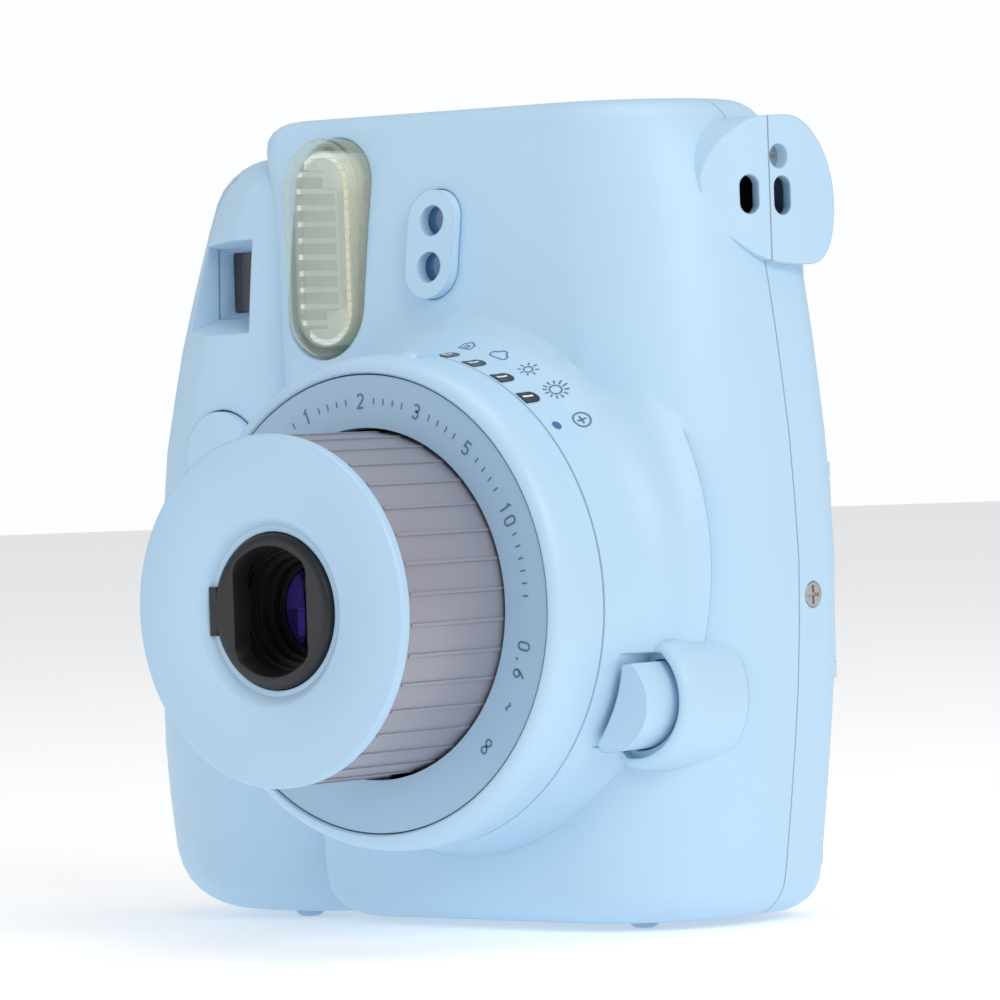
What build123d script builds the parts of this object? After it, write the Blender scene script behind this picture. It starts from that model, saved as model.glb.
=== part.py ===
from build123d import *
import math
import os

# Instant camera, in millimetres, +Z up. It is laid out about the lens axis: X = Z = 0 on
# the axis, Y = 0 at the focus ring plate, -Y to the front and +Y to the back. Right and
# left are +X and -X, as seen from the front. Each piece is moved by SHIFT when it is saved,
# so that the origin is the centre of the underside of the whole camera.

# ---------------------------------------------------------------- driving sizes
FOOT_Z = -47.8                       # underside of the feet
SHIFT = (12.6667, -23.55, -FOOT_Z)   # lens-axis frame to camera frame

# body
WALL = 2.0
Z_BOTTOM, Z_TOP = -46.8, 70.5        # main body
Z_GRIP_BOTTOM, Z_GRIP_TOP = -46.65, 65.5
Y_BACK = 58.0                        # rear face of the body
GRIP_BACK_INSET = 0.45               # grip rear face ahead of Y_BACK
Y_SEAM, Y_GRIP_SEAM = 43.0, 28.5     # front/rear cover seam, main part and grip part
X_SEAM_STEP = -48.0                  # where the seam steps forward

# lens
HOLE_R = 24.9                        # hole that the barrel runs in
BARREL_R = 24.3
PLATE_R = 32.45                      # focus ring plate
DISC_R = 24.7                        # round lens front plate
LENS_REACH = 21.2                    # front plate stands this far ahead
FRONT_Y = -LENS_REACH

# lamp windows: angles about the lens axis, degrees up from +X
LAMP_ANGLES = [79.5, 71.3, 62.3, 53.5]
DIAL_MARK_ANGLE = 80.5

# power button
POWER_ANGLE = math.radians(-23.8)    # direction from the lens axis
POWER_FRONT, POWER_FLOOR = 12.6, 20.4  # y of its face and of its pocket floor
SEAT_BACK = POWER_FLOOR + 2.0

# shutter button
SHUTTER_X, SHUTTER_Z, SHUTTER_R = -46.6, 21.3, 6.6

# flash window (half width and half height) and sensor panel
FLASH_X, FLASH_Z, FLASH_Y = -25.3, 51.2, 20.0
FLASH_HALF_W, FLASH_HALF_H = 6.7, 15.8
SENSOR_X, SENSOR_Z = -4.6, 51.0

# viewfinder axis
FINDER_X, FINDER_Z = -47.6, 47.1

# film exit, film door and its hinge along Z
SLOT_Y = 50.5
DOOR_X0, DOOR_X1, DOOR_Z0, DOOR_Z1 = -37.0, 34.5, -44.0, 53.0
HINGE_X, HINGE_Y = 35.4, 59.0
DOOR_ARMS = [(-11.0, -5.0), (9.0, 15.0)]                             # z spans
EARS = [(-13.6, -11.2), (-4.8, -2.4), (6.4, 8.8), (15.2, 17.6)]      # z spans on the cover

# battery door, its hinge axis along Y and its hinge tab
BAY_Y0, BAY_Y1, BAY_Z1 = 32.0, 47.0, 24.0
BAY_HINGE_X, BAY_HINGE_Z = -66.6, -33.0
BAY_LOW = -30.35                     # lower edge of the door beside the hinge tab
TAB_Y0, TAB_Y1 = 34.0, 42.0
TAB_GAP = 0.25
BAY_PIN_Y0, BAY_PIN_Y1, BAY_PIN_R = 31.4, 44.6, 0.55

# film counter, screws and feet
COUNTER_X, COUNTER_Z = -43.5, -29.0
COUNTER_WINDOW_Z = COUNTER_Z + 3.8
SCREW_Y, SCREW_Z = 46.3, -1.0
LUG_SCREW_Y, LUG_SCREW_Z = 44.9, 61.6
FEET = [(-41.0, 31.0), (22.7, 31.5), (-41.0, 50.0), (22.7, 50.0)]    # x, y

# Main body levels: z, right side x, left edge x, front panel y
MAIN = [
    (-46.8, 38.6, -28.6, 19.3), (-38.0, 40.0, -29.2, 19.2), (-25.0, 41.8, -30.2, 19.1),
    (-10.0, 43.4, -31.2, 19.1), (5.0, 43.9, -32.4, 19.3), (20.0, 43.1, -33.8, 19.8),
    (35.0, 41.4, -35.4, 20.8), (47.0, 39.6, -36.7, 22.1), (57.0, 37.4, -38.4, 23.6),
    (64.0, 34.9, -40.8, 24.8), (70.5, 32.2, -42.6, 25.9)]
# Grip levels: z, left side x
GRIP = [
    (-46.8, -66.2), (-38.0, -67.6), (-25.0, -69.2), (-10.0, -69.2), (5.0, -68.8),
    (20.0, -67.7), (35.0, -64.7), (47.0, -61.4), (57.0, -58.4), (65.5, -55.4)]
# Loft stations: heights above the underside, absolute z, depths below the top
LOW_STEPS = [0.0, 0.25, 0.8, 1.7, 2.9, 4.4, 6.4, 9.0]
MID_LEVELS = [-30.0, -22.0, -14.0, -5.0, 4.0, 13.0, 22.0, 30.0, 37.0, 44.0, 50.0, 55.0, 60.0]
TOP_STEPS = [0.0, 0.2, 0.7, 1.5, 2.7, 4.4, 6.5]


# ---------------------------------------------------------------- helpers
def box(x0, x1, y0, y1, z0, z1):
    return Pos((x0 + x1) / 2, (y0 + y1) / 2, (z0 + z1) / 2) * Box(x1 - x0, y1 - y0, z1 - z0)


def cyl_x(y, z, x0, x1, radius):
    return Pos((x0 + x1) / 2, y, z) * Rot(0, 90, 0) * Cylinder(radius, x1 - x0)


def cyl_y(x, z, y0, y1, radius):
    return Pos(x, (y0 + y1) / 2, z) * Rot(90, 0, 0) * Cylinder(radius, y1 - y0)


def cyl_z(x, y, z0, z1, radius):
    return Pos(x, y, (z0 + z1) / 2) * Cylinder(radius, z1 - z0)


def tube_y(y0, y1, outer_r, inner_r):
    """tube on the lens axis"""
    return cyl_y(0, 0, y0, y1, outer_r) - cyl_y(0, 0, y0 - 1, y1 + 1, inner_r)


def rev_y(points):
    """solid of revolution about the lens axis from (radius, y) points"""
    face = make_face(Polyline(*[(r, y, 0) for r, y in points], close=True))
    return revolve(face, Axis((0, 0, 0), (0, 1, 0)), 360)


def prism_y(points, y0, y1):
    """prism along +Y from (x, z) points"""
    face = make_face(Polyline(*[(x, y0, z) for x, z in points], close=True))
    return extrude(face, amount=y1 - y0, dir=(0, 1, 0))


def y_plane(x, y, z):
    return Plane(origin=(x, y, z), x_dir=(1, 0, 0), z_dir=(0, 1, 0))


def pill_y(x, z, half_w, half_h, y0, y1):
    """upright obround along +Y"""
    sketch = y_plane(x, y0, z) * (Rot(0, 0, 90) * SlotOverall(2 * half_h, 2 * half_w))
    return extrude(sketch, amount=y1 - y0, dir=(0, 1, 0))


def rrect_y(x, z, width, height, radius, y0, y1):
    """rounded rectangle along +Y"""
    sketch = y_plane(x, y0, z) * RectangleRounded(width, height, radius)
    return extrude(sketch, amount=y1 - y0, dir=(0, 1, 0))


def spring_y(x, z, y0, y1, radius, wire_r, turns):
    """coil spring along Y, centred on (x, z)"""
    height = y1 - y0 - 2 * wire_r
    path = Wire([Edge.make_helix(pitch=height / turns, height=height, radius=radius)])
    profile = Plane(origin=path.position_at(0), z_dir=path.tangent_at(0)) * Circle(wire_r)
    coil = Rot(-90, 0, 0) * sweep(profile, path=path)
    bb = coil.bounding_box()
    return Pos(x - (bb.min.X + bb.max.X) / 2,
               (y0 + y1) / 2 - (bb.min.Y + bb.max.Y) / 2,
               z - (bb.min.Z + bb.max.Z) / 2) * coil


def largest(shape):
    """the solid of greatest volume"""
    return sorted(shape.solids(), key=lambda solid: -solid.volume)[0]


def round_edges(shape, radius, picks_edge):
    """fillet the edges whose centre passes the test"""
    # Guards against a fillet that the kernel cannot build: the edges then stay sharp.
    try:
        return fillet([e for e in shape.edges() if picks_edge(e.center())], radius)
    except Exception:
        return shape


os.makedirs("parts", exist_ok=True)


def save(name, *shapes):
    """write one file, with the largest solid of each shape"""
    solids = [largest(shape) for shape in shapes]
    piece = solids[0] if len(solids) == 1 else Compound(children=solids)
    export_step(Pos(*SHIFT) * piece, "parts/" + name + ".step")


# ---------------------------------------------------------------- body outline
def level_value(table, z, column):
    """value at height z, carried on in a straight line beyond the ends"""
    if z <= table[0][0]:
        low, high = table[0], table[1]
    elif z >= table[-1][0]:
        low, high = table[-2], table[-1]
    else:
        for low, high in zip(table, table[1:]):
            if low[0] <= z <= high[0]:
                break
    t = (z - low[0]) / (high[0] - low[0])
    return low[column] + t * (high[column] - low[column])


def round_inset(depth, radius):
    """how far a quarter-round edge draws in, depth into the round"""
    u = min(max(depth / radius, 0.0), 1.0)
    return radius * (1.0 - math.sqrt(max(0.0, 1.0 - u * u)))


def end_inset(z, bottom, top, bottom_r, top_r):
    """draw-in at height z from the rounds at the underside and the top"""
    return round_inset(bottom + bottom_r - z, bottom_r) + round_inset(z - (top - top_r), top_r)


def corner_arcs(u0, u1, v0, v1, radii):
    """three points on each corner arc of a rounded rectangle, from (u1, v0) by (u1, v1)"""
    diagonal = math.sqrt(0.5)
    corners = ((u1, v0, 1, -1), (u1, v1, 1, 1), (u0, v1, -1, 1), (u0, v0, -1, -1))
    arcs = []
    for (u, v, side_u, side_v), r in zip(corners, radii):
        centre_u, centre_v = u - side_u * r, v - side_v * r
        points = [(centre_u, v),
                  (centre_u + side_u * r * diagonal, centre_v + side_v * r * diagonal),
                  (u, centre_v)]
        arcs.append(points if side_u != side_v else points[::-1])
    return arcs


def main_section(z, inset):
    """closed outline of the main body at height z"""
    bottom, top = Z_BOTTOM + inset, Z_TOP - inset
    front_in = end_inset(z, bottom, top, 5.0, 3.0)
    back_in = end_inset(z, bottom, top, 4.0, 4.0)
    right = level_value(MAIN, z, 1) - inset - end_inset(z, bottom, top, 5.5, 4.0)
    left = level_value(MAIN, z, 2) + inset + end_inset(z, bottom, top, 6.0, 5.0)
    front = level_value(MAIN, z, 3) + inset + front_in
    back = Y_BACK - inset - back_in
    front_right_r = 20.0 - inset - 0.7 * front_in - 0.15 * max(0.0, z - 50.0)
    back_right_r = 10.0 - inset - 0.5 * back_in
    left_r = 4.0 - 0.8 * inset
    arcs = [[(x, y, z) for x, y in arc] for arc in
            corner_arcs(left, right, front, back, (front_right_r, back_right_r, left_r, left_r))]
    edges = []
    for i, arc in enumerate(arcs):
        edges.append(Edge.make_line(arcs[i - 1][2], arc[0]))
        edges.append(Edge.make_three_point_arc(*arc))
    return Wire(edges)


def grip_section(z, inset):
    """closed outline of the grip at height z; its right end lies inside the main body"""
    bottom, top = Z_GRIP_BOTTOM + inset, Z_GRIP_TOP - inset
    panel = level_value(MAIN, z, 3)
    left_in = end_inset(z, bottom, top, 10.0, 7.0)
    front_in = end_inset(z, bottom, top, 6.0, 5.0)
    left = level_value(GRIP, z, 1) + inset + left_in
    front = panel + 1.0 + inset + front_in       # foremost line of the grip
    valley = panel + 6.2 + inset + front_in      # where the grip meets the main body
    back = Y_BACK - GRIP_BACK_INSET - inset - end_inset(z, bottom, top, 4.0, 3.0)
    middle = 38.5
    nose_x = left + 17.0 - inset - 0.25 * left_in
    right = -27.0 if inset <= 0 else -22.5

    def quarter(depth, start):
        points = []
        for i in range(7):
            angle = math.radians(start + 90 * i / 6)
            points.append(Vector(nose_x + (nose_x - left) * math.cos(angle),
                                 middle + depth * math.sin(angle), z))
        return points

    bridge = [Vector(nose_x, front, z),
              Vector(nose_x + 0.55 * (right - nose_x), front + 0.27 * (valley - front), z),
              Vector(right, valley, z)]
    return Wire([
        Edge.make_spline(quarter(back - middle, 90), tangents=[(-1, 0, 0), (0, -1, 0)]),
        Edge.make_spline(quarter(middle - front, 180), tangents=[(0, -1, 0), (1, 0, 0)]),
        Edge.make_spline(bridge, tangents=[(1, 0, 0), (1, 0.55, 0)]),
        Edge.make_line((right, valley, z), (right, back, z)),
        Edge.make_line((right, back, z), (nose_x, back, z))])


def loft_sections(section, bottom, top, inset):
    levels = [bottom + step for step in LOW_STEPS]
    levels += [z for z in MID_LEVELS if bottom + 11 < z < top - 8]
    levels += [top - step for step in reversed(TOP_STEPS)]
    return Solid.make_loft([section(z, inset) for z in levels], ruled=True)


def body_solid(inset):
    """main body and grip, drawn in by inset all round"""
    main = loft_sections(main_section, Z_BOTTOM + inset, Z_TOP - inset, inset)
    return main.fuse(
        loft_sections(grip_section, Z_GRIP_BOTTOM + inset, Z_GRIP_TOP - inset, inset))


outer_body = body_solid(0.0)
inner_body = body_solid(WALL)
clearance_body = body_solid(-0.2)    # cut from what seats on the rear face

# ---------------------------------------------------------------- lens housing
# drum flared into the panel, with a neck for the dial: radius, y
housing = rev_y([
    (0, 1.9), (32.5, 1.9), (32.5, 9.7), (35.25, 9.7), (35.45, 12.0), (36.0, 15.0),
    (36.8, 18.0), (37.7, 21.0), (38.6, 24.0), (39.8, 27.5), (41.0, 30.0), (0, 30.0)])
# soft cove above the drum where it runs into the leaning panel: y, radius, centre z
COVE = [
    (13.5, 35.5, 0.0), (16.0, 36.15, 0.1), (18.0, 36.8, 0.45), (19.5, 37.5, 1.0),
    (20.8, 38.3, 1.8), (22.0, 39.3, 2.9), (23.2, 40.5, 4.2), (26.0, 41.5, 5.0)]
cove = Solid.make_loft(
    [Wire([Edge.make_circle(radius, Plane(origin=(0, y, z), z_dir=(0, 1, 0)))])
     for y, radius, z in COVE], ruled=True)


# ---------------------------------------------------------------- power button outline
def power_point(out, across):
    """(x, z) at a distance out from the lens axis and a distance across that direction"""
    return (out * math.cos(POWER_ANGLE) - across * math.sin(POWER_ANGLE),
            out * math.sin(POWER_ANGLE) + across * math.cos(POWER_ANGLE))


def power_wire(growth, y):
    """D outline of the power button"""
    def point(out, across):
        x, z = power_point(out, across)
        return (x, y, z)

    inner_a = point(36.2 - growth, 5.9 + growth * 0.8)
    inner_b = point(36.2 - growth, -6.3 - growth * 0.8)
    outer_a = point(37.4, 6.6 + growth)
    outer_b = point(37.4, -7.0 - growth)
    return Wire([
        Edge.make_three_point_arc(inner_a, point(36.6 - growth, -0.2), inner_b),
        Edge.make_line(inner_b, outer_b),
        Edge.make_three_point_arc(outer_b, point(42.2 + growth, -0.2), outer_a),
        Edge.make_line(outer_a, inner_a)])


def power_prism(growth, y0, y1):
    return extrude(Face(power_wire(growth, y0)), amount=y1 - y0, dir=(0, 1, 0))


# raised wall round the power button, with a rounded crest: growth, y
GUARD = [(1.75, 18.9), (2.3, 19.15), (2.75, 19.8), (3.1, 21.0), (3.5, 24.0), (4.3, 31.0)]
guard = Solid.make_loft([power_wire(growth, y) for growth, y in GUARD], ruled=True)

# ---------------------------------------------------------------- strap lug
# rounded outline seen from the side: y, z
LUG_SIDE = [
    (41.5, 67.3), (45.0, 67.5), (48.6, 67.2), (52.6, 64.9), (55.6, 61.4), (57.3, 57.2),
    (57.3, 52.6), (55.8, 48.6), (53.0, 46.5), (48.0, 46.2), (43.5, 46.6), (39.2, 48.4),
    (36.0, 51.6), (34.3, 55.8), (34.2, 59.6), (35.6, 63.2), (38.2, 66.0)]
LUG_CENTRE_Y, LUG_CENTRE_Z = 46.0, 57.0
# outer face in plan, turned in at the front: x, y
LUG_PLAN = [
    (34.2, 32.6), (35.6, 34.3), (38.3, 37.2), (39.9, 39.9), (40.9, 43.0),
    (41.4, 46.0), (41.7, 50.0), (41.6, 54.0), (41.2, 58.0), (40.6, 62.0)]


def lug_block(scale, dx, x0):
    """side outline, scaled and run from x0, trimmed by the plan outline moved by dx"""
    outline = [(x0, LUG_CENTRE_Y + (y - LUG_CENTRE_Y) * scale,
                LUG_CENTRE_Z + (z - LUG_CENTRE_Z) * scale) for y, z in LUG_SIDE]
    side = extrude(make_face(Spline(*outline, periodic=True)), amount=16.0, dir=(1, 0, 0))
    face_line = [(x + dx, y, 30.0) for x, y in LUG_PLAN]
    curve = Spline(*face_line)
    rest = Polyline(face_line[-1], (20.0, 62.0, 30.0), (20.0, 32.6, 30.0), face_line[0])
    plan = extrude(make_face(Wire(curve.edges() + rest.edges())), amount=50.0, dir=(0, 0, 1))
    return largest(side & plan)


lug = lug_block(1.0, 0.0, 30.0)
lug_cavity = lug_block(0.8, -2.3, 28.0) & box(20, 60, 20, 70, 40, 60.2)

# ---------------------------------------------------------------- shell
envelope = outer_body.fuse(housing.solid()).fuse(cove).fuse(guard).fuse(lug)
envelope = largest(envelope)
drum_cavity = rev_y([
    (0, 3.9), (30.5, 3.9), (30.5, 11.5), (33.2, 12.5), (33.8, 17.0), (33.8, 26.0), (0, 26.0)])
cavity = largest(inner_body.fuse(drum_cavity.solid()))
cavity = largest(cavity.fuse(largest(lug_cavity)))

# solid seat under the power button so that the pocket has a floor
seat = power_prism(3.0, 19.0, SEAT_BACK) & envelope
shell = envelope - cavity
shell = largest(shell.fuse(seat.solid()))

shell = shell - power_prism(1.3, -5.0, POWER_FLOOR)      # power button pocket
shell = shell - power_prism(0.25, 5.0, 30.0)             # power button hole
shell = shell - power_prism(1.95, SEAT_BACK, 31.0)       # room for its flange and spring
shell = shell - cyl_y(0, 0, 0, 8, HOLE_R)                # barrel hole


def lamp_prism(growth):
    """round-backed lamp outline at the top of the drum, standing along +Z"""
    sketch = Plane(origin=(0, 0, 33.5), x_dir=(1, 0, 0), z_dir=(0, 0, 1)) * (
        Pos(0, 11.2) * Rectangle(2.3 + 2 * growth, 2.2 + 2 * growth)
        + Pos(0, 12.3) * Circle(1.15 + growth))
    return extrude(sketch, amount=4.0, dir=(0, 0, 1))


for angle in LAMP_ANGLES:
    shell = shell - Rot(0, 90 - angle, 0) * lamp_prism(0.05)

# flash and sensor panel openings
shell = shell - pill_y(FLASH_X, FLASH_Z, FLASH_HALF_W + 0.7, FLASH_HALF_H + 0.5, 15, 34)
shell = shell - pill_y(SENSOR_X, SENSOR_Z, 4.5, 8.0, 15, 30)


def sloped_block(y0, front, y1, back):
    """four-sided block between two (x, z) outlines"""
    return Solid.make_loft(
        [Wire(Polyline(*[(x, y, z) for x, z in outline], close=True).edges())
         for y, outline in ((y0, front), (y1, back))], ruled=True)


# viewfinder recess with sloped sides, the walls round it, and the hole for the window
recess = sloped_block(
    18.0, [(-55.6, 54.8), (-40.0, 54.8), (-40.6, 37.6), (-57.6, 37.6)],
    30.6, [(-51.8, 51.6), (-43.4, 51.6), (-43.4, 42.6), (-51.8, 42.6)])
recess_walls = sloped_block(
    18.0, [(-57.6, 56.8), (-38.0, 56.8), (-38.6, 35.6), (-59.6, 35.6)],
    32.2, [(-53.6, 53.4), (-41.6, 53.4), (-41.6, 40.8), (-53.6, 40.8)])
pod = recess_walls & envelope
shell = largest(shell.fuse(pod.solid()))
shell = shell - recess
shell = shell - rrect_y(FINDER_X, FINDER_Z, 8.4, 9.0, 0.6, 28, 34)

shell = shell - cyl_y(SHUTTER_X, SHUTTER_Z, 15, 30, SHUTTER_R + 0.25)

# strap slots, cut along a direction turned to the front
LUG_CUT_ANGLE = math.radians(-27)


def strap_slot(x, y, z):
    cos_a, sin_a = math.cos(LUG_CUT_ANGLE), math.sin(LUG_CUT_ANGLE)
    plane = Plane(origin=(x - 6 * cos_a, y - 6 * sin_a, z),
                  x_dir=(-sin_a, cos_a, 0), z_dir=(cos_a, sin_a, 0))
    return extrude(plane * (Rot(0, 0, 90) * SlotOverall(5.6, 3.1)), amount=14)


shell = shell - strap_slot(39.8, 39.7, 56.2) - strap_slot(41.2, 45.4, 56.0)
lug_screw_plane = Plane(origin=(36.5, LUG_SCREW_Y, LUG_SCREW_Z), x_dir=(0, 1, 0), z_dir=(1, 0, 0))
shell = shell - extrude(lug_screw_plane * Circle(1.75), amount=14)

# film exit slot through the top, film opening in the back, eyepiece hole
shell = shell - box(-28.5, 28.5, SLOT_Y - 2.4, SLOT_Y + 2.4, Z_TOP - 6, Z_TOP + 3)
shell = shell - box(-34.2, 32.9, Y_BACK - 5, Y_BACK + 3, -42.6, 50.2)
shell = shell - rrect_y(FINDER_X, FINDER_Z, 13.4, 12.4, 2.0, 49.0, Y_BACK + 3)

# battery opening in the grip side, with a round groove for the door's hinge barrel
uncut_shell = shell
tab_span = (TAB_Y0 - TAB_GAP, TAB_Y1 + TAB_GAP)
bay_cut = (box(-75, -60, BAY_Y0 - 0.25, BAY_Y1 + 0.25, BAY_LOW - 0.7, BAY_Z1 + 0.25)
           + cyl_y(BAY_HINGE_X, BAY_HINGE_Z, *tab_span, 2.0))
bay_cut = bay_cut + box(-75, BAY_HINGE_X + 2.0, *tab_span, BAY_HINGE_Z, BAY_LOW)
shell = shell - bay_cut
# bosses that hold the battery door pin, and their bore
for y0, y1 in ((BAY_PIN_Y0, tab_span[0]), (tab_span[1], BAY_PIN_Y1)):
    shell = shell + (cyl_y(BAY_HINGE_X, BAY_HINGE_Z, y0, y1, 1.4) & envelope).solid()
shell = shell - cyl_y(BAY_HINGE_X, BAY_HINGE_Z, BAY_PIN_Y0, BAY_PIN_Y1, BAY_PIN_R)

# side screw hole and foot seats
shell = shell - cyl_x(SCREW_Y, SCREW_Z, 42.6, 50, 1.9)
for x, y in FEET:
    shell = shell - cyl_z(x, y, Z_BOTTOM - 3, Z_BOTTOM + 1.1, 2.3)

# counter window hole and the pivot of the counter disc
shell = shell - cyl_y(COUNTER_X, COUNTER_WINDOW_Z, Y_BACK - 5, Y_BACK + 3, 2.3)
shell = shell + cyl_y(COUNTER_X, COUNTER_Z, 52.9, 56.2, 0.8)

# film door hinge ears at the right rear edge, room for the door arms, pin bores
for z0, z1 in EARS:
    shell = shell + (cyl_z(HINGE_X, HINGE_Y, z0, z1, 1.9)
                     + box(HINGE_X - 1.7, HINGE_X + 1.9, 55.5, HINGE_Y, z0, z1)).solid()
for z0, z1 in DOOR_ARMS:
    shell = shell - cyl_z(HINGE_X, HINGE_Y, z0 - 0.2, z1 + 0.2, 2.2)
for z0, z1 in EARS:
    shell = shell - cyl_z(HINGE_X, HINGE_Y, z0 - 1, z1 + 1, 1.0)

# ---------------------------------------------------------------- covers
front_region = (box(X_SEAM_STEP, 80, -30, Y_SEAM, -80, 100)
                + box(-90, X_SEAM_STEP, -30, Y_GRIP_SEAM, -80, 100))
front_cover = largest(shell & front_region)
# mounting ring for the lens, inside the front wall
front_cover = front_cover.fuse(tube_y(3.8, 5.0, 30.5, HOLE_R).solid())
save("front_cover", front_cover)
save("rear_cover", shell - front_region)

# ---------------------------------------------------------------- dial, plate, lamps
dial = rev_y([
    (32.65, 0.25), (32.9, 0.0), (33.4, 0.05), (34.1, 0.45), (34.7, 1.25), (35.1, 2.5),
    (35.3, 4.2), (35.32, 6.5), (35.25, 9.3), (35.05, 9.5), (32.65, 9.5)])
bump_face = make_face(
    Polyline((-1.6, 1.6, 0), (1.6, 1.6, 0), (1.2, 9.3, 0), (-1.2, 9.3, 0), close=True))
bump = Pos(0, 0, 34.2) * extrude(bump_face, amount=1.55, dir=(0, 0, 1))
bump = bump & (Pos(0, 6.4, 31.5) * Sphere(5.0))
save("brightness_dial", dial + Rot(0, 90 - DIAL_MARK_ANGLE, 0) * bump)

save("focus_ring_plate",
     rev_y([(24.95, 0.35), (PLATE_R, 0.35), (PLATE_R, 1.85), (24.95, 1.85)]))


def lamp_window(angle):
    """lamp window trimmed to the drum surface"""
    skin = rev_y([(33.5, 9.0), (35.36, 9.0), (35.5, 12.0), (35.78, 13.7), (35.9, 14.5),
                  (33.5, 14.5)])
    return Rot(0, 90 - angle, 0) * (lamp_prism(0.0) & skin)


save("lamp_windows", *[lamp_window(angle) for angle in LAMP_ANGLES])

# ---------------------------------------------------------------- lens barrel
SLEEVE_Y = FRONT_Y + 2.0             # front end of the barrel sleeve
SLEEVE_IN_R = 22.3
RIB_COUNT = 36
RIB_Y0, RIB_Y1 = FRONT_Y + 2.4, 1.0

barrel = rev_y([(SLEEVE_IN_R, SLEEVE_Y), (BARREL_R, SLEEVE_Y), (BARREL_R, 13.0),
                (SLEEVE_IN_R, 13.0)])
ribs = []
for i in range(RIB_COUNT):
    angle = 360 / RIB_COUNT * i + 5
    rib_x = BARREL_R * math.cos(math.radians(angle))
    rib_z = BARREL_R * math.sin(math.radians(angle))
    ribs.append(Pos(rib_x, (RIB_Y0 + RIB_Y1) / 2, rib_z) * Rot(0, -angle, 0)
                * Box(0.44, RIB_Y1 - RIB_Y0, 0.5))
barrel = barrel + ribs
# rear flange, and the ledge ahead of it inside the sleeve
barrel = barrel + rev_y([(16.0, 11.0), (22.4, 11.0), (22.4, 13.0), (16.0, 13.0)])
barrel = barrel + rev_y([(21.0, -9.0), (22.4, -9.0), (22.4, -7.6), (21.0, -7.6)])
save("lens_barrel", barrel)

# fixed behind the front wall
save("barrel_guide_sleeve", tube_y(5.05, 20.0, 27.0, 24.8))


def rev_front(points):
    """solid of revolution from (radius, distance behind FRONT_Y) points"""
    return rev_y([(r, FRONT_Y + depth) for r, depth in points])


# round front plate, dished centre
save("lens_front_plate", rev_front([
    (11.1, 1.75), (11.1, 1.55), (11.9, 1.45), (13.1, 0.2), (13.5, 0), (24.0, 0), (24.45, 0.12),
    (DISC_R, 0.5), (DISC_R, 1.6), (24.4, 1.95), (21.0, 1.95), (21.0, 2.6), (20.0, 2.6),
    (20.0, 1.95), (11.1, 1.95)]))


# ---------------------------------------------------------------- lens hood
def hood_wire(radius, half_w, y):
    """flat-sided window: arcs above and below, straight left and right, eased corners"""
    ease = 1.6
    side_z = math.sqrt(radius * radius - half_w * half_w)
    arc_x = half_w - ease
    arc_z = math.sqrt(radius * radius - arc_x ** 2)
    flat_z = side_z - ease
    ease_x, ease_z = half_w - 0.36 * ease, (side_z + arc_z) / 2 - 0.05
    edges = []
    for sign in (1, -1):             # right side and top, then left side and bottom
        def point(x, z):
            return (sign * x, y, sign * z)

        edges += [
            Edge.make_line(point(half_w, -flat_z), point(half_w, flat_z)),
            Edge.make_three_point_arc(
                point(half_w, flat_z), point(ease_x, ease_z), point(arc_x, arc_z)),
            Edge.make_three_point_arc(
                point(arc_x, arc_z), point(0, radius), point(-arc_x, arc_z)),
            Edge.make_three_point_arc(
                point(-arc_x, arc_z), point(-ease_x, ease_z), point(-half_w, flat_z))]
    return Wire(edges)


hood = rev_front([(0, 0.45), (9.6, 0.45), (10.3, 0.6), (10.75, 0.95), (10.95, 1.5),
                  (10.95, 3.4), (0, 3.4)])
hood = hood - Solid.make_loft([
    hood_wire(9.5, 7.0, FRONT_Y - 0.2), hood_wire(8.7, 6.6, FRONT_Y + 1.5),
    hood_wire(8.45, 6.5, FRONT_Y + 4.0)], ruled=True)
hood = hood + rev_front([(10.7, 2.1), (13.4, 2.1), (13.4, 3.4), (10.7, 3.4)])
# small tab at the left
hood = hood + box(-11.75, -10.4, FRONT_Y + 0.85, FRONT_Y + 1.3, -3.4, 3.4)
save("lens_hood_ring", hood)

# stepped baffle behind the hood
save("lens_baffle", rev_y([
    (8.9, FRONT_Y + 3.5), (13.0, FRONT_Y + 3.5), (13.0, -9.2), (6.2, -9.2), (6.2, -10.8),
    (6.9, -10.8), (6.9, -12.6), (7.5, -12.6), (7.5, -14.4), (8.2, -14.4), (8.2, -16.2),
    (8.9, -16.2)]))


# ---------------------------------------------------------------- optics and shutter
def biconvex(y, radius, edge, front_sag, back_sag):
    """biconvex glass whose rim, edge thick, starts at y"""
    front_r = (radius * radius + front_sag * front_sag) / (2 * front_sag)
    back_r = (radius * radius + back_sag * back_sag) / (2 * back_sag)
    glass = cyl_y(0, 0, y - front_sag - 1, y + edge + back_sag + 1, radius)
    glass = glass & (Pos(0, y - front_sag + front_r, 0) * Sphere(front_r))
    return glass & (Pos(0, y + edge + back_sag - back_r, 0) * Sphere(back_r))


WHEEL_PITCH_R = 9.0                  # aperture hole circle, through the optical axis
WHEEL_Z = -WHEEL_PITCH_R
APERTURE_RADII = (1.1, 1.5, 2.0, 2.6, 3.3)
BLADE_X, BLADE_Z = -12.5, 7.0        # shutter blade pivot
PIVOT_R, PIVOT_HOLE_R = 0.8, 0.85
CELL_POSTS = ((15.5, 10.0), (-3.0, 18.0), (14.5, -13.0), (-14.5, -13.0))   # x, z

save("front_lens", biconvex(-11.0, 6.0, 1.2, 0.9, 0.35))

# board with the pivots of the aperture wheel and the shutter blade
board = cyl_y(0, 0, -9.1, -7.7, 20.9) - cyl_y(0, 0, -12, 0, 4.2)
board = (board + cyl_y(0, WHEEL_Z, -7.8, -6.35, PIVOT_R)
         + cyl_y(BLADE_X, BLADE_Z, -7.8, -6.35, PIVOT_R))
save("lens_board", board)

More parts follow.
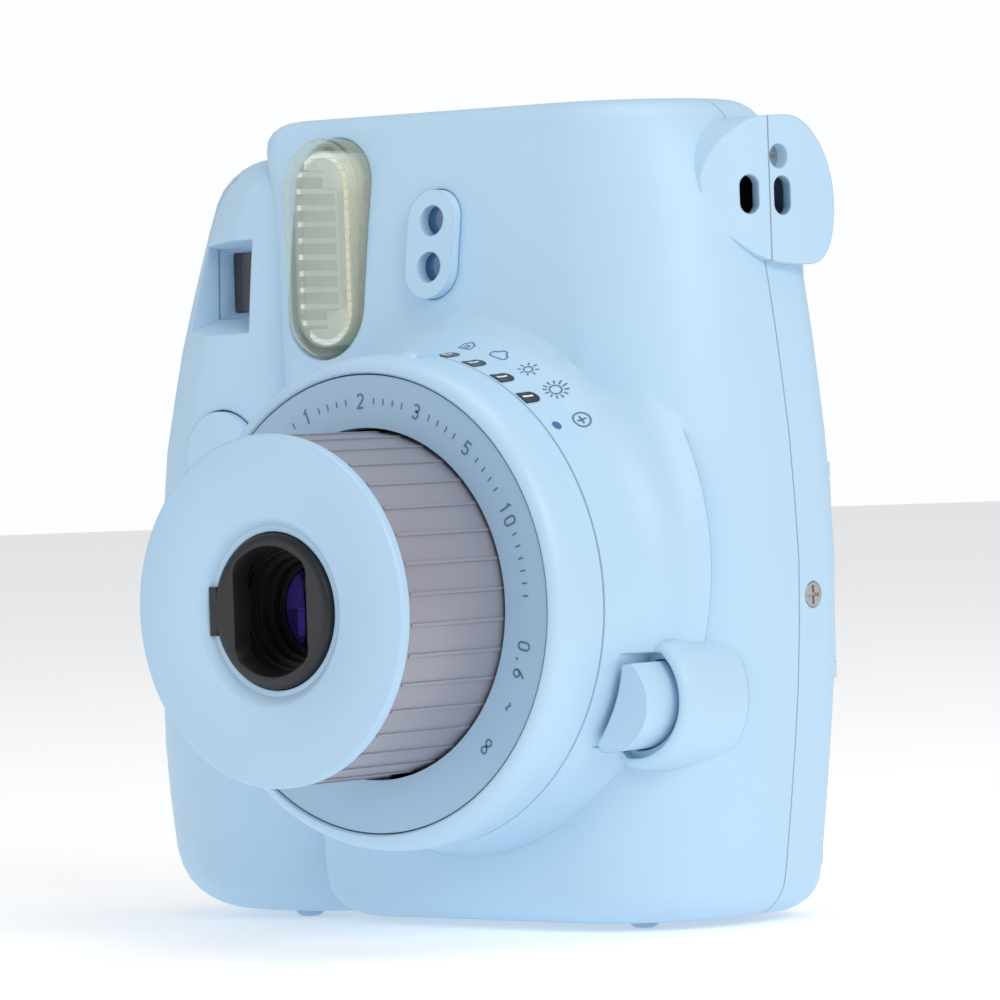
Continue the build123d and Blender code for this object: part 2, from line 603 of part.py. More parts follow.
wheel = cyl_y(0, WHEEL_Z, -6.95, -6.5, 11.8) - cyl_y(0, WHEEL_Z, -8, -5, PIVOT_HOLE_R)
for i, hole_r in enumerate(APERTURE_RADII):
    angle = math.radians(90 - 36 * i)
    wheel = wheel - cyl_y(WHEEL_PITCH_R * math.cos(angle),
                          WHEEL_Z + WHEEL_PITCH_R * math.sin(angle), -8, -5, hole_r)
save("aperture_wheel", wheel)

# closed over the hole at rest
blade = cyl_y(BLADE_X, BLADE_Z, -7.5, -7.1, 2.2) + cyl_y(0, 0, -7.5, -7.1, 5.2)
blade = blade + prism_y([(BLADE_X + 0.9, BLADE_Z + 2.0), (2.0, 4.8), (-2.6, -4.5),
                         (BLADE_X - 1.0, BLADE_Z - 2.0)], -7.5, -7.1)
save("shutter_blade", blade - cyl_y(BLADE_X, BLADE_Z, -9, -5, PIVOT_HOLE_R))

# rear lens cell on four posts
lens_cell = cyl_y(0, 0, -6.15, -5.0, 20.6) - cyl_y(0, 0, -9, 0, 4.4)
for x, z in CELL_POSTS:
    lens_cell = lens_cell + cyl_y(x, z, -7.7, -6.1, 1.4)
save("rear_lens_cell", lens_cell + tube_y(-5.05, -1.6, 7.8, 6.25))
save("rear_lens", biconvex(-4.5, 6.2, 1.3, 0.4, 0.8))

save("barrel_springs", *[spring_y(0, z, 13.2, 34.4, 2.2, 0.3, 7) for z in (19.3, -19.3)])

# ---------------------------------------------------------------- dark box and film
frame = box(-34, 34, 34.8, 45.9, -42.4, 51.0) - box(-32.2, 32.2, 36.4, 47, -40.6, 49.2)
frame = frame - box(-16, 16, 33, 38, -16, 16)
# lower, upper, left and right bars of the picture opening
frame = (frame + box(-32.3, 32.3, 44.3, 45.9, -40.7, -33.0)
         + box(-32.3, 32.3, 44.3, 45.9, 33.0, 49.3))
frame = (frame + box(-32.3, -24.0, 44.3, 45.9, -40.7, 49.3)
         + box(24.0, 32.3, 44.3, 45.9, -40.7, 49.3))
save("film_chamber_frame", frame)

pack = box(-32.4, 32.4, 46.1, 56.4, -42.2, 49.6)
pack = pack - box(-23.2, 23.2, 45, 46.9, -31.2, 31.2) - box(-27.5, 27.5, 46.9, 47.6, 40.0, 52)
pack = pack - box(-9, 9, 55.6, 58, -30, 22) - box(-33, -30.8, 45, 47.5, -43, -30)
save("film_pack", pack)

# ---------------------------------------------------------------- film door
WINDOW_X, WINDOW_Z, WINDOW_W, WINDOW_H = 4.0, 4.0, 13.0, 20.0
LATCH_X, LATCH_Z, LATCH_SHIFT = -25.5, 12.0, 1.2
PIN_R = 1.0


def door_wire(x0, x1, z0, z1, radius, y):
    arcs = [[(x, y, z) for x, z in arc] for arc in corner_arcs(x0, x1, z0, z1, [radius] * 4)]
    edges = []
    for i, arc in enumerate(arcs):
        edges.append(Edge.make_three_point_arc(*arc))
        edges.append(Edge.make_line(arc[2], arcs[(i + 1) % 4][0]))
    return Wire(edges)


def door_loft(inset, y0, y1, y_top):
    """straight rim from y0 to y1, then slopes up to the flat at y_top"""
    rim = (DOOR_X0 + inset, DOOR_X1 - inset, DOOR_Z0 + inset, DOOR_Z1 - inset,
           5.0 - 0.6 * inset)
    flat_in = inset * 0.9
    flat = (-32.5 + flat_in, 22.0 - flat_in, -34.0 + flat_in, 43.0 - flat_in,
            7.0 - 0.6 * inset)
    tray = Solid.make_loft([door_wire(*rim, y0), door_wire(*rim, y1)], ruled=True)
    crown = Solid.make_loft([door_wire(*rim, y1), door_wire(*flat, y_top)], ruled=True)
    return tray.fuse(crown)


door = round_edges(door_loft(0.0, 54.0, 58.6, 66.6), 2.0, lambda c: c.Y > 66.5)
door = door - door_loft(2.0, 50.0, 58.4, 64.6)
door = largest(door - largest(clearance_body))
door = door - rrect_y(WINDOW_X, WINDOW_Z, WINDOW_W, WINDOW_H, 1.5, 60, 70)
for z in (LATCH_Z, -LATCH_Z):
    door = door - rrect_y(LATCH_X, z, 3.2, 8.2, 0.8, 60, 70)
for z0, z1 in DOOR_ARMS:
    door = door + (cyl_z(HINGE_X, HINGE_Y, z0, z1, 1.9)
                   + box(31.0, HINGE_X, 58.9, 60.9, z0, z1)).solid()
for z0, z1 in DOOR_ARMS:
    door = door - cyl_z(HINGE_X, HINGE_Y, z0 - 1, z1 + 1, 1.05)
# room for the ears of the cover
for z0, z1 in EARS:
    door = (door - cyl_z(HINGE_X, HINGE_Y, z0 - 0.3, z1 + 0.3, 2.3)
            - box(33.2, 39.0, 54.0, HINGE_Y, z0 - 0.3, z1 + 0.3))
save("film_door", door)

# each pin spans a pair of ears
save("film_door_hinge_pins",
     *[cyl_z(HINGE_X, HINGE_Y, EARS[i][0], EARS[i + 1][1], PIN_R) for i in (0, 2)])
save("film_window",
     rrect_y(WINDOW_X, WINDOW_Z, WINDOW_W - 0.1, WINDOW_H - 0.1, 1.45, 64.7, 66.3))


def latch(z):
    """grooved slider, with a neck through the door and a retaining foot"""
    slider = rrect_y(LATCH_X, z, 9.0, 13.0, 2.0, 66.75, 68.3)
    for i in range(-2, 3):
        slider = slider - (Pos(LATCH_X, 68.5, z + i * 2.2) * Rot(0, 90, 0)
                           * Cylinder(0.55, 7.0))
    slider = slider + rrect_y(LATCH_X, z, 2.6, 3.8, 0.5, 64.0, 66.8)
    return slider + rrect_y(LATCH_X, z, 6.0, 9.0, 0.8, 62.9, 64.3)


save("upper_door_latch", latch(LATCH_Z + LATCH_SHIFT))
save("lower_door_latch", latch(-LATCH_Z - LATCH_SHIFT))


def pressure_leaf(x):
    """bowed leaf spring, its middle towards the film"""
    width = 5.0
    outline = Wire([
        Edge.make_three_point_arc((x, 63.3, -22), (x, 57.2, 2), (x, 63.3, 26)),
        Edge.make_line((x, 63.3, 26), (x, 62.7, 26)),
        Edge.make_three_point_arc((x, 62.7, 26), (x, 56.7, 2), (x, 62.7, -22)),
        Edge.make_line((x, 62.7, -22), (x, 63.3, -22))])
    return Pos(-width / 2, 0, 0) * extrude(Face(outline), amount=width, dir=(1, 0, 0))


save("film_pressure_springs", *[pressure_leaf(x) for x in (-20.0, 16.0)])

# ---------------------------------------------------------------- film counter
save("film_counter_disc",
     cyl_y(COUNTER_X, COUNTER_Z, 54.3, 55.1, 6.3) + cyl_y(COUNTER_X, COUNTER_Z, 53.2, 54.4, 2.0)
     - cyl_y(COUNTER_X, COUNTER_Z, 50, 58, 0.86))
save("counter_window", cyl_y(COUNTER_X, COUNTER_WINDOW_Z, 55.9, 57.5, 2.25))

# ---------------------------------------------------------------- battery bay
AA_R, AA_BODY, AA_LENGTH = 7.1, 48.8, 50.0
AA_Z = -34.0                                   # lower end of the cells
AA_PLACES = ((-55.4, 33.2), (-52.2, 47.1))     # x, y

# the door is the piece of wall taken from the opening, with a hinge tab and grip grooves
bay_door = largest(uncut_shell & box(-75, -60, BAY_Y0, BAY_Y1, BAY_LOW, BAY_Z1))
bay_door = (bay_door + cyl_y(BAY_HINGE_X, BAY_HINGE_Z, TAB_Y0, TAB_Y1, 1.1)
            + box(BAY_HINGE_X - 1.05, BAY_HINGE_X + 0.6, TAB_Y0, TAB_Y1,
                  BAY_HINGE_Z, BAY_LOW + 1.5))
bay_door = bay_door - cyl_y(BAY_HINGE_X, BAY_HINGE_Z, TAB_Y0 - 1, TAB_Y1 + 1, 0.6)
for i in range(4):
    bay_door = bay_door - (Pos(-69.9, 39.5, 12.0 + 2.4 * i) * Rot(90, 0, 0)
                           * Cylinder(0.9, 9.0))
save("battery_door", bay_door)
save("battery_door_hinge_pin",
     cyl_y(BAY_HINGE_X, BAY_HINGE_Z, BAY_PIN_Y0, BAY_PIN_Y1, BAY_PIN_R))


def aa_cell(x, y):
    return (cyl_z(x, y, AA_Z, AA_Z + AA_BODY, AA_R)
            + cyl_z(x, y, AA_Z + AA_BODY, AA_Z + AA_LENGTH, 2.7))


# the second cell is turned end for end
turn_over = Pos(2 * AA_PLACES[1][0], 0, 2 * AA_Z + AA_LENGTH) * Rot(0, 180, 0)
save("aa_cells", aa_cell(*AA_PLACES[0]), turn_over * aa_cell(*AA_PLACES[1]))

contacts = []
for x, y in AA_PLACES:
    for z in (AA_Z - 0.8, AA_Z + AA_LENGTH + 0.2):
        contacts.append(box(x - 4.3, x + 4.3, y - 4.3, y + 4.3, z, z + 0.6))
save("battery_contacts", *contacts)

# ---------------------------------------------------------------- viewfinder
save("viewfinder_front_lens", rrect_y(FINDER_X, FINDER_Z, 8.2, 8.8, 0.5, 30.8, 32.0))
save("viewfinder_tube", rrect_y(FINDER_X, FINDER_Z, 10.4, 11.0, 1.5, 32.6, 49.4)
     - rrect_y(FINDER_X, FINDER_Z, 8.2, 8.6, 1.0, 30, 60))

eyepiece = round_edges(rrect_y(FINDER_X, FINDER_Z, 17.0, 16.0, 3.5, 48.0, 67.3), 1.6,
                       lambda c: c.Y > 67.2)
eyepiece = largest(eyepiece - largest(clearance_body))
eyepiece = eyepiece + rrect_y(FINDER_X, FINDER_Z, 13.2, 12.2, 2.0, 50.0, 60.0)
eyepiece = (eyepiece - rrect_y(FINDER_X, FINDER_Z, 8.8, 7.8, 1.5, 45, 70)
            - rrect_y(FINDER_X, FINDER_Z, 11.0, 10.0, 2.0, 65.8, 70))
save("viewfinder_eyepiece", eyepiece)
save("eyepiece_lens", rrect_y(FINDER_X, FINDER_Z, 8.7, 7.7, 1.45, 62.0, 63.6))

# ---------------------------------------------------------------- buttons
# shutter button with a rear flange and a slightly domed face
shutter_button = (cyl_y(SHUTTER_X, SHUTTER_Z, 20.0, 25.2, SHUTTER_R)
                  + cyl_y(SHUTTER_X, SHUTTER_Z, 24.9, 26.1, 7.7))
shutter_button = shutter_button & (Pos(SHUTTER_X, 20.0 + 40.0, SHUTTER_Z) * Sphere(40.05))
save("shutter_button", shutter_button)
save("shutter_button_spring", spring_y(SHUTTER_X, SHUTTER_Z, 26.2, 33.0, 2.6, 0.25, 5))
save("shutter_switch_bracket", box(-49.8, -37.5, 33.1, 34.4, 17.6, 30.0))

# power button with a rear flange and a slightly dished face
power_x, power_z = power_point(39.6, -0.2)
power_button = power_prism(0.0, POWER_FRONT, 23.9) + power_prism(1.6, POWER_FLOOR + 2.2, 23.9)
power_button = power_button - (Pos(power_x, POWER_FRONT - 29.2, power_z) * Sphere(30.0))
save("power_button", power_button)
save("power_button_spring", spring_y(power_x - 0.8, power_z, 24.0, 30.4, 2.0, 0.25, 5))
save("power_switch_bracket", box(29.5, 37.2, 30.5, 31.7, -21.0, -10.0))


# ---------------------------------------------------------------- flash
def flash_pill(grow_w, grow_h, y0, y1):
    """flash window outline, grown at each side and at each end"""
    return pill_y(FLASH_X, FLASH_Z, FLASH_HALF_W + grow_w, FLASH_HALF_H + grow_h, y0, y1)


flash_face = flash_pill(0, 0, FLASH_Y, 28.0)
flash_step = flash_pill(0.6, 0.4, 21.6, 30.0)
flash_face = round_edges(flash_face, 1.2, lambda c: c.Y < FLASH_Y + 0.1)
flash = flash_face + flash_step
flash = flash - flash_pill(-1.4, -1.4, FLASH_Y + 1.3, 40)
flash = flash + (flash_pill(1.6, 0.45, 28.7, 29.7) - flash_pill(-1.4, -1.4, 20, 40))
save("flash_window", flash)

# reflector: trough around the tube
REFLECTOR_IN = 2.5                   # hollow inside the window outline
trough = Pos(FLASH_X, 25.5, FLASH_Z) * Cylinder(
    FLASH_HALF_W - REFLECTOR_IN, 2 * (FLASH_HALF_H - FLASH_HALF_W))
save("flash_reflector", flash_pill(-1.7, -1.7, FLASH_Y + 1.6, 30.5)
     - flash_pill(-REFLECTOR_IN, -REFLECTOR_IN, FLASH_Y, 25.5) - trough)
save("xenon_tube", cyl_z(FLASH_X, 27.0, FLASH_Z - 8.6, FLASH_Z + 8.6, 1.3))

# ---------------------------------------------------------------- sensors
SENSOR_HOLES_X, SENSOR_HOLES_Z = SENSOR_X + 0.2, (54.4, 47.7)
panel_lean = math.degrees(math.atan2(24.35 - 21.4, 60 - 40))

# leaning panel with a wider flange behind it
panel = pill_y(SENSOR_X, SENSOR_Z, 4.4, 7.9, 15.0, 30.0)
panel = panel & (Pos(SENSOR_X, 23.25, SENSOR_Z) * Rot(-panel_lean, 0, 0) * Box(20, 4.2, 40))
flange = extrude(Rot(0, 0, 90) * SlotOverall(18.6, 11.6), amount=0.6, both=True)
panel = panel + (Pos(SENSOR_X, 25.75, SENSOR_Z) * Rot(-panel_lean, 0, 0)
                 * Rot(90, 0, 0) * flange)
for z in SENSOR_HOLES_Z:
    panel = panel - cyl_y(SENSOR_HOLES_X, z, 10, 40, 2.2)
save("sensor_panel", panel)


def sensor_window(z):
    set_back = (z - SENSOR_Z) * 0.147    # follows the lean of the panel
    return cyl_y(SENSOR_HOLES_X, z, 23.0 + set_back, 24.4 + set_back, 2.15)


save("sensor_windows", *[sensor_window(z) for z in SENSOR_HOLES_Z])

# ---------------------------------------------------------------- electronics
save("circuit_board", box(-13.5, 18.5, 28.6, 30.0, 42.5, 65.0)
     - cyl_y(15, 46, 20, 40, 1.1) - cyl_y(-10, 62, 20, 40, 1.1))
save("flash_capacitor", cyl_z(32.0, 30.4, -5.0, 20.0, 4.0))

# ---------------------------------------------------------------- film drive
ROLLER_Z, ROLLER_R, AXLE_R = 58.0, 2.4, 1.2
FRONT_ROLLER_Y, REAR_ROLLER_Y = SLOT_Y - 2.55, SLOT_Y + 2.55
MODULE = 0.6
ROLLER_TEETH, PINION_TEETH = 20, 10
GEAR_X0, GEAR_X1 = -34.6, -32.4
SHAFT_R = 0.9


def roller(y, axle_x0):
    return (cyl_x(y, ROLLER_Z, -26.5, 26.5, ROLLER_R)
            + cyl_x(y, ROLLER_Z, axle_x0, 29.4, AXLE_R))


def roller_bracket(x0, x1):
    plate = box(x0, x1, 45.2, 54.9, 54.0, 62.5)
    for y in (FRONT_ROLLER_Y, REAR_ROLLER_Y):
        plate = plate - cyl_x(y, ROLLER_Z, x0 - 1, x1 + 1, AXLE_R + 0.06)
    return plate


# the front roller's axle runs on to the left to carry the gear
save("front_eject_roller", roller(FRONT_ROLLER_Y, -35.6))
save("rear_eject_roller", roller(REAR_ROLLER_Y, -29.4))
save("roller_brackets", roller_bracket(-29.2, -27.6), roller_bracket(27.6, 29.2))


def gear_x(y, z, teeth, phase, bore_r):
    """spur gear about an axis along X, with straight-sided teeth"""
    pitch_r = teeth * MODULE / 2
    tip_r, root_r = pitch_r + 0.85 * MODULE, pitch_r - 1.15 * MODULE
    # angle as a share of the tooth pitch, radius
    tooth = ((-0.36, root_r), (-0.13, tip_r), (0.13, tip_r), (0.36, root_r))
    points = []
    for i in range(teeth):
        centre = 360.0 / teeth * i + phase
        for share, r in tooth:
            t = math.radians(centre + share * 360.0 / teeth)
            points.append((GEAR_X0, y + r * math.cos(t), z + r * math.sin(t)))
    blank = extrude(make_face(Polyline(*points, close=True)), amount=GEAR_X1 - GEAR_X0,
                    dir=(1, 0, 0))
    return blank - cyl_x(y, z, GEAR_X0 - 1, GEAR_X1 + 1, bore_r)


# the motor axis lies at the gear distance, plus backlash, towards y 36.5, z 60.5
gear_distance = MODULE * (ROLLER_TEETH + PINION_TEETH) / 2 + 0.12
mesh_angle = math.degrees(math.atan2(60.5 - ROLLER_Z, 36.5 - FRONT_ROLLER_Y))
motor_y = FRONT_ROLLER_Y + gear_distance * math.cos(math.radians(mesh_angle))
motor_z = ROLLER_Z + gear_distance * math.sin(math.radians(mesh_angle))

save("roller_gear", gear_x(FRONT_ROLLER_Y, ROLLER_Z, ROLLER_TEETH, mesh_angle, AXLE_R))
save("motor_pinion", gear_x(motor_y, motor_z, PINION_TEETH,
                            mesh_angle + 180 + 180.0 / PINION_TEETH, SHAFT_R))
motor = (cyl_x(motor_y, motor_z, -30.9, -13.0, 5.6)
         + cyl_x(motor_y, motor_z, -31.9, -30.8, 2.0))
save("drive_motor", motor - cyl_x(motor_y, motor_z, -33, -20, SHAFT_R + 0.05))
save("motor_shaft", cyl_x(motor_y, motor_z, -34.9, -20.5, SHAFT_R))

save("pick_claw", box(-36.2, -34.3, 43.5, 45.9, -30.0, -14.0)
     + box(-36.2, -32.6, 46.05, 47.1, -30.0, -27.5)
     + box(-36.2, -34.3, 45.8, 47.1, -30.0, -27.5))
save("light_flap", box(-28.2, 28.2, SLOT_Y - 2.2, SLOT_Y + 2.0, 65.75, 66.25)
     + cyl_x(SLOT_Y + 2.0, 66.0, -28.2, 28.2, 0.38))


# ---------------------------------------------------------------- fasteners, feet
def screw_x(y, z, x0, x1, radius):
    """plug along X with a cross slot in its right end"""
    slot = 2 * radius * 0.75
    plug = cyl_x(y, z, x0, x1, radius)
    return plug - (Pos(x1, y, z) * Box(0.9, slot, 0.5)) - (Pos(x1, y, z) * Box(0.9, 0.5, slot))


save("side_screw", screw_x(SCREW_Y, SCREW_Z, 42.7, 43.7, 1.8))
save("strap_lug_screw", screw_x(LUG_SCREW_Y, LUG_SCREW_Z, 36.6, 39.6, 1.65))

# foot profile: radius, z
FOOT_PROFILE = [(0, FOOT_Z), (1.3, FOOT_Z), (1.9, -47.45), (2.25, -46.85), (2.25, -45.75),
                (0, -45.75)]
foot_face = make_face(Polyline(*[(r, 0, z) for r, z in FOOT_PROFILE], close=True))
save("feet", *[Pos(x, y, 0) * revolve(foot_face, Axis.Z, 360) for x, y in FEET])
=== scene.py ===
"""Blue instant camera with a round lens drum, a flash window and printed marks.

It stands upright on z = 0, in metres: +Z is up, the lens faces -Y and +X is on the right
as seen from the front. Materials and details are placed in lens-axis millimetres:
X = Z = 0 on the lens axis, Y = 0 at the focus ring plate.
"""
import bpy
import bmesh
import math
from mathutils import Vector, Matrix
from mathutils.bvhtree import BVHTree


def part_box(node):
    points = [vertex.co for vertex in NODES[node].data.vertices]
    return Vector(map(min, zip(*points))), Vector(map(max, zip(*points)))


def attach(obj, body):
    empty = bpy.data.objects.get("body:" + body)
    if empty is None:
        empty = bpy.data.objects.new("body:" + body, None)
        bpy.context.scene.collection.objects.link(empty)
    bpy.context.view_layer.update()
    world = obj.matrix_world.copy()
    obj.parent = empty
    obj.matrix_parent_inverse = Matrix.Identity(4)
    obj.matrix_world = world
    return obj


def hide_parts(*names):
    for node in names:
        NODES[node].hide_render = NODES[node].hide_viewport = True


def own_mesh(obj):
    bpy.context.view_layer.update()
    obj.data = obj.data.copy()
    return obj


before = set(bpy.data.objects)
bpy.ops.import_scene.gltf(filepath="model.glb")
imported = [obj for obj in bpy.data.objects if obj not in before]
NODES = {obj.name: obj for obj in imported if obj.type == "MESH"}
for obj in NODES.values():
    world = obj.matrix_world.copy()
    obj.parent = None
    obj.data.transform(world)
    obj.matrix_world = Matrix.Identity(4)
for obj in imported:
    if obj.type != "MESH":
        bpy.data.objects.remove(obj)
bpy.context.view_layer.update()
scene = bpy.context.scene

MM = 0.001
LENS_ORIGIN = Vector((12.6667, -23.55, 47.8))   # lens-axis origin in the frame, mm


def lens_point(x, y, z):
    """Lens-axis millimetres to frame metres."""
    return (Vector((x, y, z)) + LENS_ORIGIN) * MM


# ---------------------------------------------------------------- material helpers
class Mat:
    """A node material with short ways to add and link nodes."""

    def __init__(self, name):
        self.material = bpy.data.materials.new(name)
        self.material.use_nodes = True
        self.tree = self.material.node_tree
        self.shader = self.tree.nodes["Principled BSDF"]

    def feed(self, socket, value):
        """Link a socket to another socket, or give it a plain value."""
        if isinstance(value, bpy.types.NodeSocket):
            self.tree.links.new(value, socket)
        else:
            socket.default_value = value

    def set(self, **inputs):
        """Feed shader inputs; an underscore stands for a space in the input's name."""
        for name, value in inputs.items():
            self.feed(self.shader.inputs[name.replace("_", " ")], value)

    def add(self, kind, inputs=None, **settings):
        """New node; inputs maps socket names or numbers to values or sockets."""
        node = self.tree.nodes.new(kind)
        for name, value in settings.items():
            setattr(node, name, value)
        for key, value in (inputs or {}).items():
            self.feed(node.inputs[key], value)
        return node

    def math(self, operation, *values):
        return self.add("ShaderNodeMath", dict(enumerate(values)), operation=operation).outputs[0]

    def position(self):
        """Lens-axis position in mm, from object space."""
        coords = self.add("ShaderNodeTexCoord")
        inputs = {0: coords.outputs["Object"], 1: (1000, 1000, 1000), 2: -LENS_ORIGIN}
        return self.add("ShaderNodeVectorMath", inputs, operation="MULTIPLY_ADD").outputs[0]

    def split(self, vector):
        """The x, y and z sockets of a vector."""
        return self.add("ShaderNodeSeparateXYZ", {0: vector}).outputs

    def noise(self, position, scale, detail=2.0):
        inputs = {"Vector": position, "Scale": scale, "Detail": detail}
        return self.add("ShaderNodeTexNoise", inputs).outputs["Fac"]

    def mix(self, factor, first, second):
        """Colour mix."""
        return self.add("ShaderNodeMix", {0: factor, 6: first, 7: second},
                        data_type="RGBA").outputs[2]

    def remap(self, value, low, high, from_low=0.0, from_high=1.0):
        inputs = {0: value, 1: from_low, 2: from_high, 3: low, 4: high}
        return self.add("ShaderNodeMapRange", inputs).outputs[0]

    def bevel(self, radius, samples):
        """Normal with soft edges; radius in mm."""
        return self.add("ShaderNodeBevel", {"Radius": radius * MM}, samples=samples).outputs[0]

    def bump(self, height, normal, strength, distance):
        """Normal with relief; distance in mm."""
        inputs = {"Height": height, "Normal": normal,
                  "Strength": strength, "Distance": distance * MM}
        return self.add("ShaderNodeBump", inputs).outputs[0]


def linear(rgb):
    """sRGB 0..255 to linear RGBA."""
    values = []
    for channel in rgb:
        level = channel / 255.0
        values.append(level / 12.92 if level <= 0.04045 else ((level + 0.055) / 1.055) ** 2.4)
    return (*values, 1.0)


def shade(colour, factor):
    """A lighter or darker version of a linear colour."""
    return tuple(min(1, channel * factor) for channel in colour[:3]) + (1,)


SEAM_HALF = 0.13   # half the width of the painted gap shade along a parting line, mm


def plastic(name, rgb, rough=0.38, bevel=0.35, grain=0.02, spec=0.45, sss=0.0, seams=(),
            coat=0.0):
    """Moulded plastic: soft edges, faint mottle, fine grain; bevel and grain depth in mm.

    seams are parting lines (y, x from, x to), darkened with painted shade of the gap between the
    covers.
    """
    mat = Mat(name)
    base = linear(rgb)
    mat.set(Base_Color=base, Roughness=rough, Specular_IOR_Level=spec)
    if sss:
        mat.set(Subsurface_Weight=sss, Subsurface_Radius=(0.002, 0.002, 0.0025),
                Subsurface_Scale=0.6)
    if coat:
        mat.set(Coat_Weight=coat, Coat_Roughness=0.2)
    position = mat.position()

    # the mottle shows in both colour and roughness
    mottle = mat.noise(position, scale=0.05, detail=3.0)
    colour = mat.mix(mottle, shade(base, 0.985), shade(base, 1.012))
    # painted shade: the parting lines are darkened as if shade fell into a thin gap between the
    # covers
    if seams:
        axes = mat.split(position)
        gap_shade_mask = None
        for y, x_from, x_to in seams:
            gap = mat.math("ABSOLUTE", mat.math("SUBTRACT", axes[1], y))
            line = mat.math("LESS_THAN", gap, SEAM_HALF)
            line = mat.math("MULTIPLY", line, mat.math("GREATER_THAN", axes[0], x_from))
            line = mat.math("MULTIPLY", line, mat.math("LESS_THAN", axes[0], x_to))
            gap_shade_mask = mat.math("MAXIMUM", gap_shade_mask, line) if gap_shade_mask else line
        colour = mat.mix(gap_shade_mask, colour, shade(base, 0.66))
    mat.set(Base_Color=colour, Roughness=mat.remap(mottle, low=rough - 0.03, high=rough + 0.05))

    fine = mat.noise(position, scale=2.2)
    mat.set(Normal=mat.bump(fine, mat.bevel(bevel, samples=6), strength=0.35, distance=grain))
    return mat


def metal(name, rgb, rough=0.25, metallic=1.0):
    """Metal with uneven roughness and slightly soft edges."""
    mat = Mat(name)
    mat.set(Base_Color=linear(rgb), Roughness=rough, Metallic=metallic)
    uneven = mat.noise(mat.position(), scale=1.5)
    mat.set(Roughness=mat.remap(uneven, low=max(0.02, rough - 0.08), high=rough + 0.1),
            Normal=mat.bevel(0.15, samples=4))
    return mat


def thin_clear(name, rgb, low, high):
    """Thin clear moulding: alpha is low face on and high where it turns away at the rim."""
    mat = Mat(name)
    mat.set(Base_Color=linear(rgb), Roughness=0.05, Specular_IOR_Level=0.9)
    blend = 0.35
    facing = mat.add("ShaderNodeLayerWeight", {0: blend}).outputs["Facing"]
    mat.set(Alpha=mat.remap(facing, low, high))
    return mat


def glass(name, rgb, ior, rough):
    mat = Mat(name)
    mat.set(Base_Color=linear(rgb), Roughness=rough, IOR=ior, Transmission_Weight=1.0)
    return mat


def ink(name, rgb, rough):
    """Printed ink with slightly uneven roughness; also used for the painted highlights on the
    lamp windows.
    """
    mat = Mat(name)
    mat.set(Base_Color=linear(rgb), Roughness=rough)
    mat.set(Roughness=mat.remap(mat.noise(mat.position(), scale=4.0), low=0.4, high=0.55))
    return mat


def cell_jacket():
    """Battery cell: a dark jacket with a plain upper band and bright ends."""
    mat = Mat("cell_jacket")
    mat.set(Roughness=0.3, Metallic=0.35)
    bottom, top = -34.0, 16.0
    bright = (170, 170, 174)
    # start of each band as a share of the height, colour
    bands = ((0.0, bright), (0.04, (38, 40, 48)), (0.7, (196, 150, 84)), (0.95, bright))
    height = mat.remap(mat.split(mat.position())[2], low=0.0, high=1.0,
                       from_low=bottom, from_high=top)
    ramp_node = mat.add("ShaderNodeValToRGB", {0: height})
    ramp = ramp_node.color_ramp
    ramp.interpolation = "CONSTANT"
    for i, (start, rgb) in enumerate(bands):
        # a new ramp already has two stops
        stop = ramp.elements[i] if i < 2 else ramp.elements.new(start)
        stop.position = start
        stop.color = linear(rgb)
    mat.set(Base_Color=ramp_node.outputs[0])
    return mat


def barrel_grey():
    """Satin grey with fine turned bands along the lens axis."""
    mat = plastic("barrel_grey", (156, 155, 166), rough=0.34, bevel=0.12, grain=0.01, spec=0.5)
    radians_per_mm = 9.0
    y = mat.split(mat.position())[1]
    wave = mat.math("SINE", mat.math("MULTIPLY", y, radians_per_mm))
    bands = mat.math("MULTIPLY", wave, 0.5)
    grained = mat.shader.inputs["Normal"].links[0].from_socket
    mat.set(Normal=mat.bump(bands, grained, strength=0.25, distance=0.02), Metallic=0.25)
    return mat


def reflector_metal():
    """Bright aluminium with a faint painted glow in place of bounced light, a dark segmented left
    edge and a warm crinkled right edge.
    """
    mat = metal("reflector", (240, 242, 240), rough=0.3, metallic=0.55)
    # painted light: a faint white glow stands in for light bounced inside the flash; the
    # reflector is no lamp
    mat.set(Emission_Color=(0.95, 1.0, 0.95, 1), Emission_Strength=0.1)
    left_edge, right_edge = -28.6, -22.2
    radians_per_mm, gap_level = 2.6, -0.55   # pitch of the dark segments, and how wide they are
    x, _, z = mat.split(mat.position())
    on_left = mat.math("LESS_THAN", x, left_edge)
    on_right = mat.math("GREATER_THAN", x, right_edge)
    wave = mat.math("SINE", mat.math("MULTIPLY", z, radians_per_mm))
    segments = mat.math("MULTIPLY", on_left, mat.math("GREATER_THAN", wave, gap_level))
    segmented = mat.mix(segments, linear((238, 240, 238)), linear((92, 96, 96)))
    crinkle = mat.noise(mat.position(), scale=0.9, detail=4)
    warm = mat.mix(crinkle, linear((206, 170, 96)), linear((250, 244, 226)))
    mat.set(Base_Color=mat.mix(on_right, segmented, warm))
    return mat


